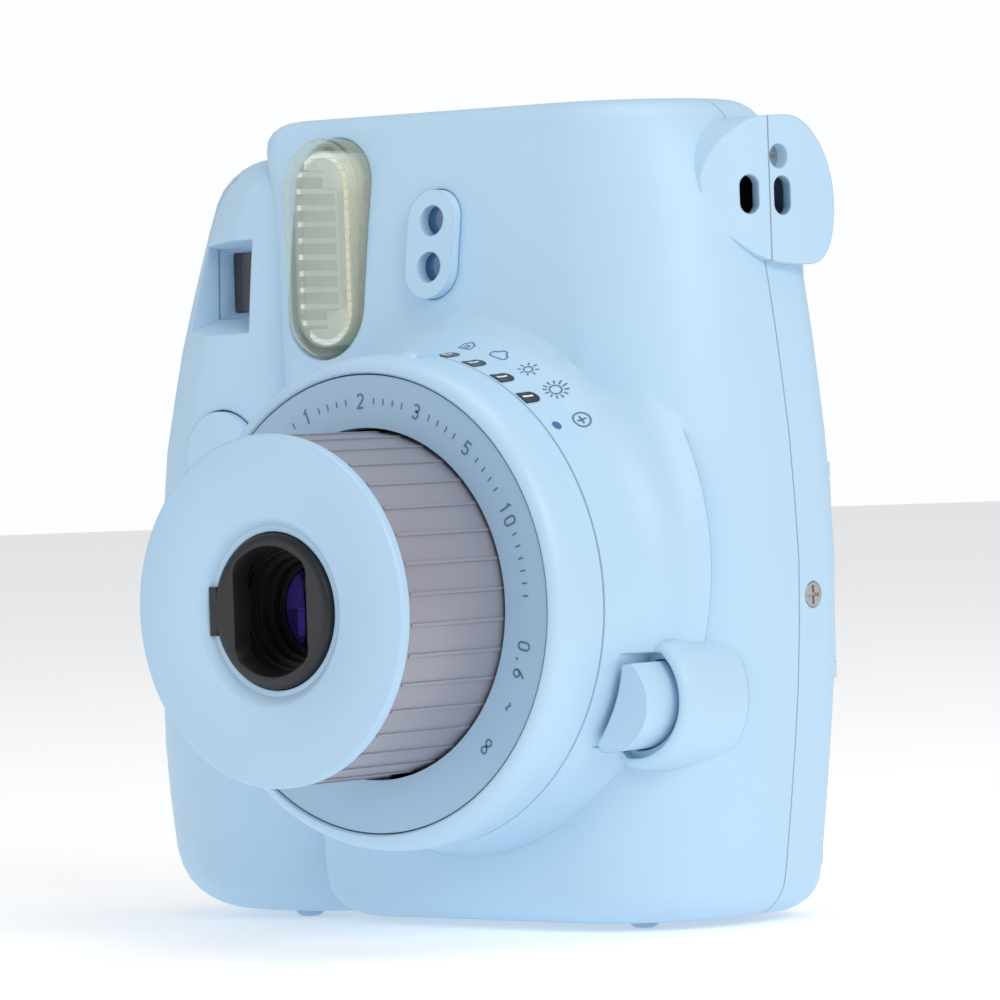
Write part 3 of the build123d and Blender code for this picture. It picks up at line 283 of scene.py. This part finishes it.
# ---------------------------------------------------------------- materials
BLUE = (186, 217, 240)
body_blue = plastic("body_blue", BLUE, rough=0.42, bevel=0.45, sss=0.04,
                    seams=((43.0, -47.9, 60.0), (28.5, -90.0, -48.1)))
dial_blue = plastic("dial_blue", BLUE, rough=0.36, bevel=0.3, sss=0.04)
disc_blue = plastic("disc_blue", (180, 211, 236), rough=0.36, bevel=0.25, sss=0.04)
ring_blue = plastic("ring_blue", (168, 200, 226), rough=0.4, bevel=0.12)
button_blue = plastic("button_blue", BLUE, rough=0.36, bevel=0.4, sss=0.04)
latch_blue = plastic("latch_blue", (176, 206, 232), rough=0.4, bevel=0.25)
black = plastic("black_plastic", (20, 20, 22), rough=0.5, bevel=0.15, spec=0.4)
hood_black = plastic("hood_black", (24, 24, 27), rough=0.42, bevel=0.3, spec=0.5)
baffle_black = plastic("baffle_black", (16, 15, 17), rough=0.35, bevel=0.12, spec=0.5)
lamp_black = plastic("lamp_black", (26, 28, 34), rough=0.18, bevel=0.1, spec=0.6)
white = plastic("white_plastic", (222, 222, 216), rough=0.4, bevel=0.1)
rubber = plastic("roller_rubber", (34, 34, 36), rough=0.75, bevel=0.15, grain=0.05)
pack_black = plastic("pack_black", (30, 30, 34), rough=0.55, bevel=0.3)
board_green = plastic("board_green", (22, 86, 52), rough=0.4, bevel=0.1)
sleeve = plastic("capacitor_sleeve", (28, 28, 40), rough=0.25, bevel=0.3, coat=0.4)
steel = metal("steel", (196, 196, 198))
contact_metal = metal("contact_metal", (214, 206, 186), rough=0.3)
motor_can = metal("motor_can", (176, 176, 180), rough=0.35)
cells = cell_jacket()
barrel = barrel_grey()
clear = glass("clear_plastic", (236, 244, 240), ior=1.49, rough=0.02)
flash_clear = thin_clear("flash_clear", (226, 240, 226), low=0.12, high=0.6)
tube_glass = thin_clear("tube_glass", (240, 240, 236), low=0.25, high=0.7)
coated_glass = glass("coated_glass", (214, 216, 240), ior=1.6, rough=0.0)
coated_glass.set(Coat_Weight=1.0, Coat_Tint=(0.6, 0.5, 1.0, 1), Specular_IOR_Level=0.8)
dark_window = plastic("dark_window", (44, 26, 34), rough=0.06, bevel=0.1, grain=0.0,
                      spec=0.7, coat=1.0)
sensor_blue = plastic("sensor_blue", (40, 92, 138), rough=0.12, bevel=0.1, grain=0.0,
                      spec=0.6, coat=0.5)
amber_window = plastic("film_window_amber", (92, 72, 38), rough=0.12, bevel=0.1, grain=0.0,
                       spec=0.6, coat=0.6)
reflector = reflector_metal()
ink_grey = ink("ink_blue_grey", (92, 122, 152), rough=0.5)
ink_blue = ink("ink_blue", (58, 110, 156), rough=0.45)
# painted highlights: white bars that stand in for reflections on the glossy lamp windows
painted_highlight_white = ink("painted_highlight_white", (236, 240, 244), rough=0.4)

# material, the pieces made of it
PIECES = (
    (body_blue, ("front_cover", "rear_cover", "film_door")),
    (dial_blue, ("brightness_dial",)),
    (disc_blue, ("lens_front_plate",)),
    (button_blue, ("battery_door", "shutter_button", "power_button", "viewfinder_eyepiece",
                   "sensor_panel")),
    (ring_blue, ("focus_ring_plate",)),
    (latch_blue, ("upper_door_latch", "lower_door_latch", "feet")),
    (barrel, ("lens_barrel",)),
    (black, ("barrel_guide_sleeve", "lens_board", "rear_lens_cell", "film_chamber_frame",
             "viewfinder_tube", "roller_brackets", "light_flap", "aperture_wheel",
             "shutter_blade")),
    (hood_black, ("lens_hood_ring",)),
    (baffle_black, ("lens_baffle",)),
    (lamp_black, ("lamp_windows",)),
    (pack_black, ("film_pack",)),
    (coated_glass, ("front_lens", "rear_lens")),
    (clear, ("eyepiece_lens", "counter_window")),
    (amber_window, ("film_window",)),
    (flash_clear, ("flash_window",)),
    (tube_glass, ("xenon_tube",)),
    (dark_window, ("viewfinder_front_lens",)),
    (sensor_blue, ("sensor_windows",)),
    (reflector, ("flash_reflector",)),
    (steel, ("side_screw", "strap_lug_screw", "film_door_hinge_pins", "battery_door_hinge_pin",
             "film_pressure_springs", "barrel_springs", "power_button_spring",
             "shutter_button_spring", "pick_claw", "motor_shaft")),
    (contact_metal, ("battery_contacts",)),
    (motor_can, ("drive_motor",)),
    (cells, ("aa_cells",)),
    (white, ("film_counter_disc", "roller_gear", "motor_pinion")),
    (rubber, ("front_eject_roller", "rear_eject_roller")),
    (board_green, ("circuit_board", "power_switch_bracket", "shutter_switch_bracket")),
    (sleeve, ("flash_capacitor",)),
)


# ---------------------------------------------------------------- dressing the CAD pieces
def smooth_group(name, degrees):
    """Smooth-by-angle as geometry nodes, so that the pieces' own meshes stay as they are."""
    group = bpy.data.node_groups.new(name, "GeometryNodeTree")
    for direction in ("INPUT", "OUTPUT"):
        group.interface.new_socket("Geometry", in_out=direction,
                                   socket_type="NodeSocketGeometry")
    add, link = group.nodes.new, group.links.new
    source = add("NodeGroupInput")
    result = add("NodeGroupOutput")
    merge = add("GeometryNodeMergeByDistance")
    merge.inputs["Distance"].default_value = 2e-6
    edge_angle = add("GeometryNodeInputMeshEdgeAngle")
    shallow = add("FunctionNodeCompare")
    shallow.operation = "LESS_EQUAL"
    shallow.inputs[1].default_value = math.radians(degrees)
    smooth_faces = add("GeometryNodeSetShadeSmooth")
    smooth_faces.domain = "FACE"
    smooth_faces.inputs["Shade Smooth"].default_value = True
    smooth_edges = add("GeometryNodeSetShadeSmooth")
    smooth_edges.domain = "EDGE"
    link(source.outputs[0], merge.inputs[0])
    link(merge.outputs[0], smooth_faces.inputs[0])
    link(smooth_faces.outputs[0], smooth_edges.inputs[0])
    link(edge_angle.outputs["Unsigned Angle"], shallow.inputs[0])
    link(shallow.outputs[0], smooth_edges.inputs["Shade Smooth"])
    link(smooth_edges.outputs[0], result.inputs[0])
    return group


smooth_default = smooth_group("smooth_32", 32)
smooth_barrel = smooth_group("smooth_20", 20)
material_of = {piece: mat.material for mat, pieces in PIECES for piece in pieces}
for name, ob in NODES.items():
    ob.data.materials.clear()
    ob.data.materials.append(material_of[name])
    if "custom_normal" in ob.data.attributes:
        ob.data.attributes.remove(ob.data.attributes["custom_normal"])
    modifier = ob.modifiers.new("smooth_by_angle", "NODES")
    modifier.node_group = smooth_barrel if name == "lens_barrel" else smooth_default


# ---------------------------------------------------------------- mesh helpers
def bm_object(bm, name, mat):
    """Object from a bmesh, linked to the scene with one material."""
    mesh = bpy.data.meshes.new(name)
    bm.to_mesh(mesh)
    bm.free()
    ob = bpy.data.objects.new(name, mesh)
    scene.collection.objects.link(ob)
    mesh.materials.append(mat.material)
    return ob


def body_detail(bm, name, mat, thick=0.0):
    """Detail that rides on the camera body; thick in mm."""
    bmesh.ops.recalc_face_normals(bm, faces=bm.faces)
    ob = bm_object(bm, name, mat)
    if thick:
        modifier = ob.modifiers.new("thickness", "SOLIDIFY")
        modifier.thickness = thick * MM
        modifier.offset = 0.0
    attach(ob, "camera_body")
    return ob


def stroke(bm, points, width, closed, place):
    """Flat ribbon along 2-D points (s, t), mapped to 3-D by place(s, t)."""
    count = len(points)
    pairs = []
    for i in range(count):
        point = Vector(points[i])
        before = Vector(points[(i - 1) % count if closed else max(i - 1, 0)])
        after = Vector(points[(i + 1) % count if closed else min(i + 1, count - 1)])
        # an open end has only one neighbour, so both directions follow it
        came, goes = point - before, after - point
        dir_in = (came if came.length > 1e-9 else goes).normalized()
        dir_out = goes.normalized() if goes.length > 1e-9 else dir_in
        normal_in = Vector((-dir_in.y, dir_in.x))
        mitre = normal_in + Vector((-dir_out.y, dir_out.x))
        mitre = mitre.normalized() if mitre.length > 1e-6 else normal_in
        # the lower limit keeps sharp corners from spiking
        offset = mitre * (width / 2 / max(0.35, mitre.dot(normal_in)))
        pairs.append([bm.verts.new(place(side.x, side.y))
                      for side in (point + offset, point - offset)])
    for i in range(count if closed else count - 1):
        this, following = pairs[i], pairs[(i + 1) % count]
        bm.faces.new((this[0], this[1], following[1], following[0]))


def arc(cx, cy, radius, start, end, steps=10):
    """Points along an arc, angles in degrees."""
    angles = [math.radians(start + (end - start) * i / steps) for i in range(steps + 1)]
    return [(cx + radius * math.cos(a), cy + radius * math.sin(a)) for a in angles]


def circle(radius, steps):
    return arc(0, 0, radius, 0, 360, steps)[:-1]


def disc(bm, centre_t, radius, place, sides=24):
    """Filled disc centred on s = 0."""
    corners = []
    for i in range(sides):
        angle = 2 * math.pi * i / sides
        corners.append(bm.verts.new(place(radius * math.cos(angle),
                                          centre_t + radius * math.sin(angle))))
    bm.faces.new(corners)


# ---------------------------------------------------------------- marks on the lens drum
# Angles run from +X towards +Z in degrees. On the drum s runs clockwise seen from the front
# and t runs back.
DRUM_R = 36.4
LAMP_R = 35.5
RAY_START = 60       # well outside the drum
PRINT_AND_HIGHLIGHT_THICK = 0.02


def bvh_of(name):
    bm = bmesh.new()
    bm.from_mesh(NODES[name].data)
    tree = BVHTree.FromBMesh(bm)
    bm.free()
    return tree


def cast_in(tree, angle, y):
    """Cast a ray at the lens axis; gives the outward direction, the hit point and its normal."""
    turn = math.radians(angle)
    outward = Vector((math.cos(turn), 0, math.sin(turn)))
    start = lens_point(RAY_START * outward.x, y, RAY_START * outward.z)
    hit, normal = tree.ray_cast(start, -outward, RAY_START * MM)[:2]
    return outward, hit, normal


cover_tree = bvh_of("front_cover")
lamp_tree = bvh_of("lamp_windows")


def drum_point(angle, y, lift=0.035):
    """Point just above the drum's outside."""
    outward, hit, normal = cast_in(cover_tree, angle, y)
    if hit is None:
        return lens_point(DRUM_R * outward.x, y, DRUM_R * outward.z)
    return hit + normal * lift * MM


def lamp_point(angle, y):
    """Point just above the lamp windows."""
    outward, hit, _ = cast_in(lamp_tree, angle, y)
    if hit is None:
        hit = lens_point(LAMP_R * outward.x, y, LAMP_R * outward.z)
    return hit + outward * (0.04 * MM)


def symbol(name, angle, y, strokes, width):
    """Printed line symbol; strokes are (points, closed)."""
    bm = bmesh.new()

    def place(s, t):
        return drum_point(angle - math.degrees(s / DRUM_R), y + t)

    longest_span = 0.35
    for points, closed in strokes:
        # long spans are divided so that the ribbon follows the round surface
        divided = []
        count = len(points)
        for i in range(count if closed else count - 1):
            here, there = Vector(points[i]), Vector(points[(i + 1) % count])
            steps = max(1, int((there - here).length / longest_span))
            divided += [tuple(here + (there - here) * j / steps) for j in range(steps)]
        if not closed:
            divided.append(points[-1])
        stroke(bm, divided, width, closed, place)
    body_detail(bm, name, ink_grey, PRINT_AND_HIGHLIGHT_THICK)


def sun(radius, rays, ray_from, ray_to):
    strokes = [(circle(radius, 20), True)]
    for i in range(rays):
        angle = 2 * math.pi * i / rays
        ray = [(r * math.cos(angle), r * math.sin(angle)) for r in (ray_from, ray_to)]
        strokes.append((ray, False))
    return strokes


house = [([(-1.0, -0.8), (1.0, -0.8), (1.0, 0.35), (0.0, 1.05), (-1.0, 0.35)], True),
         ([(-0.3, -0.8), (-0.3, 0.1), (0.3, 0.1), (0.3, -0.8)], False)]
cloud = [(arc(-0.85, -0.1, 0.6, 130, 270, 8) + arc(0.85, -0.1, 0.6, -90, 50, 8)
          + arc(0.1, 0.35, 0.75, 10, 160, 8), True)]
ringed_plus = [(circle(1.25, 24), True),
               ([(-0.7, 0), (0.7, 0)], False),
               ([(0, -0.7), (0, 0.7)], False)]
symbol("symbol_house", angle=80.6, y=16.6, strokes=house, width=0.22)
symbol("symbol_cloud", angle=71.2, y=16.6, strokes=cloud, width=0.24)
symbol("symbol_small_sun", angle=62.4, y=16.7, strokes=sun(0.62, 8, 0.95, 1.5), width=0.24)
symbol("symbol_large_sun", angle=53.5, y=16.8, strokes=sun(0.85, 12, 1.2, 1.85), width=0.26)
symbol("symbol_plus", angle=43.4, y=16.6, strokes=ringed_plus, width=0.28)


def position_dot():
    """Blue dot on the drum in front of the plus symbol."""
    angle, y = 43.5, 12.0
    bm = bmesh.new()
    disc(bm, 0, 0.75,
         lambda s, t: drum_point(angle - math.degrees(s / LAMP_R), y + t, lift=0.04))
    body_detail(bm, "position_dot", ink_blue, PRINT_AND_HIGHLIGHT_THICK)


def lamp_painted_highlights():
    """Painted highlights: white bars on the lamp windows in place of reflections."""
    y = 11.7
    bar = [(-0.15, -1.2), (-0.15, 0.2), (-0.15, 0.9)]
    bm = bmesh.new()
    for angle in (79.5, 71.3, 62.3, 53.5):
        stroke(bm, bar, 0.36, False,
               lambda s, t: lamp_point(angle - math.degrees(s / LAMP_R), y + t))
    body_detail(bm, "lamp_painted_highlights", painted_highlight_white, PRINT_AND_HIGHLIGHT_THICK)


position_dot()
lamp_painted_highlights()

# ---------------------------------------------------------------- distance scale
SCALE_Y = 0.31
SCALE_R = 28.75
GLYPH_SIZE = 1.25
TICK_FIRST, TICK_STEP, TICK_COUNT = 2, 3.5, 34   # degrees, degrees, places
TICK_CLEARANCE = 3.0                             # from a glyph, degrees


def endless_point(turn):
    """Point on the endless sign, two loops side by side."""
    spread = 1 + math.sin(turn) ** 2
    return (0.93 * math.cos(turn) / spread, 1.08 * math.sin(turn) * math.cos(turn) / spread)


# strokes (points, closed) of each glyph, before scaling by GLYPH_SIZE; "o" is the endless sign
GLYPHS = {
    "0": [(arc(0, 0.35, 0.42, 0, 180, 8) + arc(0, -0.35, 0.42, 180, 360, 8), True)],
    "1": [([(-0.25, 0.45), (0.08, 0.78), (0.08, -0.78)], False)],
    "2": [(arc(0, 0.36, 0.42, 160, -40, 8) + [(-0.42, -0.77), (0.45, -0.77)], False)],
    "3": [(arc(0, 0.38, 0.4, 150, -90, 8) + arc(0, -0.38, 0.42, 90, -150, 8), False)],
    "5": [([(0.4, 0.77), (-0.3, 0.77), (-0.36, 0.08)] + arc(0, -0.3, 0.45, 120, -150, 8),
           False)],
    "6": [([(0.3, 0.77), (-0.25, 0.1)] + arc(0, -0.33, 0.43, 150, -210, 12), False)],
    "~": [([(-0.5, 0.0), (-0.25, 0.18), (0.0, 0.0), (0.25, -0.18), (0.5, 0.0)], False)],
    "o": [([endless_point(2 * math.pi * i / 28) for i in range(28)], True)],
}
# glyph, angle in degrees
SCALE_MARKS = (
    ("0", -12), (".", -16), ("6", -20), ("~", -30), ("o", -44),
    ("1", 112), ("2", 91), ("3", 70), ("5", 49), ("1", 27.5), ("0", 23.5),
)


def distance_scale():
    """Numbers and ticks round the focus ring plate."""
    bm = bmesh.new()

    def place_at(angle):
        def place(s, t):
            # s runs clockwise seen from the front, t runs outwards
            radius = SCALE_R + t
            turn = math.radians(angle) - s / SCALE_R
            return lens_point(radius * math.cos(turn), SCALE_Y, radius * math.sin(turn))
        return place

    for glyph, angle in SCALE_MARKS:
        if glyph == ".":
            disc(bm, -0.7 * GLYPH_SIZE, 0.2, place_at(angle), sides=12)
            continue
        for points, closed in GLYPHS[glyph]:
            scaled = [(x * GLYPH_SIZE, y * GLYPH_SIZE) for x, y in points]
            stroke(bm, scaled, 0.3, closed, place_at(angle))
    for i in range(TICK_COUNT):
        angle = TICK_FIRST + i * TICK_STEP
        if min(abs(angle - taken) for _, taken in SCALE_MARKS) >= TICK_CLEARANCE:
            stroke(bm, [(0, -0.45), (0, 0.45)], 0.22, False, place_at(angle))
    body_detail(bm, "distance_scale", ink_grey, thick=0.015)


distance_scale()

# ---------------------------------------------------------------- flash prism sheet
SHEET_X, SHEET_Z = -25.3, 51.2          # centre
SHEET_HALF_W, SHEET_HALF_H = 5.2, 14.3  # the ends are half round
SHEET_FRONT, SHEET_BACK = 21.45, 22.1
RIDGE_DEPTH = 0.34
PITCH_MIN, PITCH_GAIN = 0.55, 0.95      # ridge pitch at the ends, and what the middle adds
PITCH_FADE = 6.0                        # length over which the pitch grows
RIDGE_SLOPE = 0.72                      # share of the pitch taken by the slope
RIDGE_STEP = 0.02                       # height of the steep return


def sheet_half_width(z):
    straight = SHEET_HALF_H - SHEET_HALF_W
    if abs(z) <= straight:
        return SHEET_HALF_W
    half = math.sqrt(max(0.0, SHEET_HALF_W ** 2 - (abs(z) - straight) ** 2))
    return max(half, 0.05)


def flash_prism_sheet():
    """Sheet at the flash window with horizontal ridges, closer together at the ends."""
    levels = []
    z = -SHEET_HALF_H
    while z < SHEET_HALF_H:
        levels.append(z)
        z += PITCH_MIN + PITCH_GAIN * min(1.0, (SHEET_HALF_H - abs(z)) / PITCH_FADE)
    levels.append(SHEET_HALF_H)

    bm = bmesh.new()
    rows = []   # each: front left, front right, back left, back right
    for low, high in zip(levels, levels[1:]):
        for z, depth in ((low, 0.0), (low + RIDGE_SLOPE * (high - low), RIDGE_DEPTH),
                         (high - RIDGE_STEP, RIDGE_DEPTH)):
            half = sheet_half_width(z)
            rows.append([bm.verts.new(lens_point(SHEET_X + side * half, y, SHEET_Z + z))
                         for y in (SHEET_FRONT + depth, SHEET_BACK) for side in (-1, 1)])
    for a, b in zip(rows, rows[1:]):
        bm.faces.new((a[0], a[1], b[1], b[0]))
        bm.faces.new((a[2], b[2], b[3], a[3]))
        bm.faces.new((a[0], b[0], b[2], a[2]))
        bm.faces.new((a[1], a[3], b[3], b[1]))
    first, last = rows[0], rows[-1]
    bm.faces.new((first[0], first[2], first[3], first[1]))
    bm.faces.new((last[0], last[1], last[3], last[2]))
    body_detail(bm, "flash_prism_sheet", flash_clear)


flash_prism_sheet()

# ---------------------------------------------------------------- coil springs
# piece replaced, joint, coil radius, wire radius, turns, travel, whether there are two; mm
SPRINGS = (
    ("barrel_springs", "lens_barrel_slide", 2.2, 0.3, 7, 20.5, True),
    ("power_button_spring", "power_button_press", 2.0, 0.25, 5, 1.6, False),
    ("shutter_button_spring", "shutter_button_press", 2.6, 0.25, 5, 1.5, False),
)
STEPS_PER_TURN = 22
WIRE_SIDES = 8


def coil(bm, x, z, y0, y1, radius, wire, turns):
    """Round wire wound about an axis along Y, from y0 to y1; all in metres."""
    count = turns * STEPS_PER_TURN
    rings = []
    for i in range(count + 1):
        share = i / count
        turn = 2 * math.pi * turns * share
        y = y0 + wire + share * (y1 - y0 - 2 * wire)
        ring = []
        for j in range(WIRE_SIDES):
            around = 2 * math.pi * j / WIRE_SIDES
            reach = radius + wire * math.cos(around)
            ring.append(bm.verts.new((x + reach * math.cos(turn), y + wire * math.sin(around),
                                      z + reach * math.sin(turn))))
        rings.append(ring)
    for a, b in zip(rings, rings[1:]):
        for j in range(WIRE_SIDES):
            k = (j + 1) % WIRE_SIDES
            bm.faces.new((a[j], a[k], b[k], b[j]))
    bm.faces.new(rings[0])
    bm.faces.new(rings[-1])


def spring(node, joint, radius, wire, turns, travel, double):
    """Coil in place of a CAD spring."""
    low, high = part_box(node)
    y0, y1 = low[1], high[1]
    x, z = (low[0] + high[0]) / 2, (low[2] + high[2]) / 2
    inset = (radius + wire) * MM
    bm = bmesh.new()
    for coil_z in (low[2] + inset, high[2] - inset) if double else (z,):
        coil(bm, x, coil_z, y0, y1, radius * MM, wire * MM, turns)
    ob = body_detail(bm, node + "_drawn", steel)
    for polygon in ob.data.polygons:
        polygon.use_smooth = True
    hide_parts(node)
    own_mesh(ob)


for row in SPRINGS:
    spring(*row)

# ---------------------------------------------------------------- view camera
AZIMUTH = math.radians(40.16062)     # from straight in front, towards +X
ELEVATION = math.radians(0.96482)
ROLL = math.radians(-1.98689)
# the lens-axis origin as seen by the view camera, mm
ORIGIN_RIGHT, ORIGIN_UP, ORIGIN_AWAY = -18.593056, -14.753860, 887.933087
FOCAL_LENGTH = 226.12068


def view_camera():
    level_right = Vector((math.cos(AZIMUTH), math.sin(AZIMUTH), 0))
    back = Vector((math.sin(AZIMUTH) * math.cos(ELEVATION),
                   -math.cos(AZIMUTH) * math.cos(ELEVATION), math.sin(ELEVATION)))
    level_up = back.cross(level_right)
    right = level_right * math.cos(ROLL) + level_up * math.sin(ROLL)
    up = level_right * -math.sin(ROLL) + level_up * math.cos(ROLL)
    to_origin = right * ORIGIN_RIGHT + up * ORIGIN_UP + back * -ORIGIN_AWAY
    matrix = Matrix((right, up, back)).transposed().to_4x4()
    matrix.translation = (LENS_ORIGIN - to_origin) * MM
    data = bpy.data.cameras.new("camera")
    data.sensor_width = 36.0
    data.lens = FOCAL_LENGTH
    data.clip_start, data.clip_end = 0.05, 20.0
    ob = bpy.data.objects.new("camera", data)
    scene.collection.objects.link(ob)
    ob.matrix_world = matrix
    scene.camera = ob


view_camera()

# ---------------------------------------------------------------- floor, world and lights
FLOOR_R, FLOOR_SIDES, FLOOR_Z = 3.0, 48, -0.00005   # just below the feet, m


def white_floor():
    mat = Mat("floor_white")
    mat.set(Base_Color=(0.93, 0.93, 0.935, 1), Roughness=0.6,
            Emission_Color=(1, 1, 1, 1), Emission_Strength=0.3)
    bm = bmesh.new()
    turns = [2 * math.pi * i / FLOOR_SIDES for i in range(FLOOR_SIDES)]
    bm.faces.new([bm.verts.new((FLOOR_R * math.cos(a), FLOOR_R * math.sin(a), FLOOR_Z))
                  for a in turns])
    bm_object(bm, "floor", mat)


def studio_world():
    """Near-white surroundings: full strength to the camera, weaker as light."""
    world = bpy.data.worlds.new("studio")
    world.use_nodes = True
    nodes, links = world.node_tree.nodes, world.node_tree.links
    background = nodes["Background"]
    background.inputs[0].default_value = (0.97, 0.985, 1.0, 1)
    path = nodes.new("ShaderNodeLightPath")
    strength = nodes.new("ShaderNodeMapRange")
    strength.inputs[3].default_value = 0.5   # as light
    strength.inputs[4].default_value = 1.0   # to the camera
    links.new(path.outputs["Is Camera Ray"], strength.inputs[0])
    links.new(strength.outputs[0], background.inputs[1])
    scene.world = world


def area_light(name, position, target, size, power, color=(1, 1, 1)):
    light = bpy.data.lights.new(name, "AREA")
    light.energy = power
    light.color = color
    light.shape = "RECTANGLE"
    light.size = size
    light.size_y = size
    ob = bpy.data.objects.new(name, light)
    scene.collection.objects.link(ob)
    ob.location = position
    aim = Vector(target) - Vector(position)
    ob.rotation_euler = aim.to_track_quat("-Z", "Y").to_euler()


white_floor()
studio_world()
scene.view_settings.view_transform = "Standard"
scene.view_settings.look = "None"
scene.view_settings.exposure = 0.0

# key from the upper right, fill from the front left, soft top
area_light("key", (1.1, -0.35, 0.75), target=(0, 0, 0.05), size=0.7, power=6.1,
           color=(1.0, 0.99, 0.97))
area_light("fill", (-0.5, -1.0, 0.25), target=(0, 0, 0.05), size=0.6, power=1.5,
           color=(0.95, 0.98, 1.0))
area_light("top", (0.1, 0.1, 1.1), target=(0, 0, 0.05), size=0.6, power=2.6)
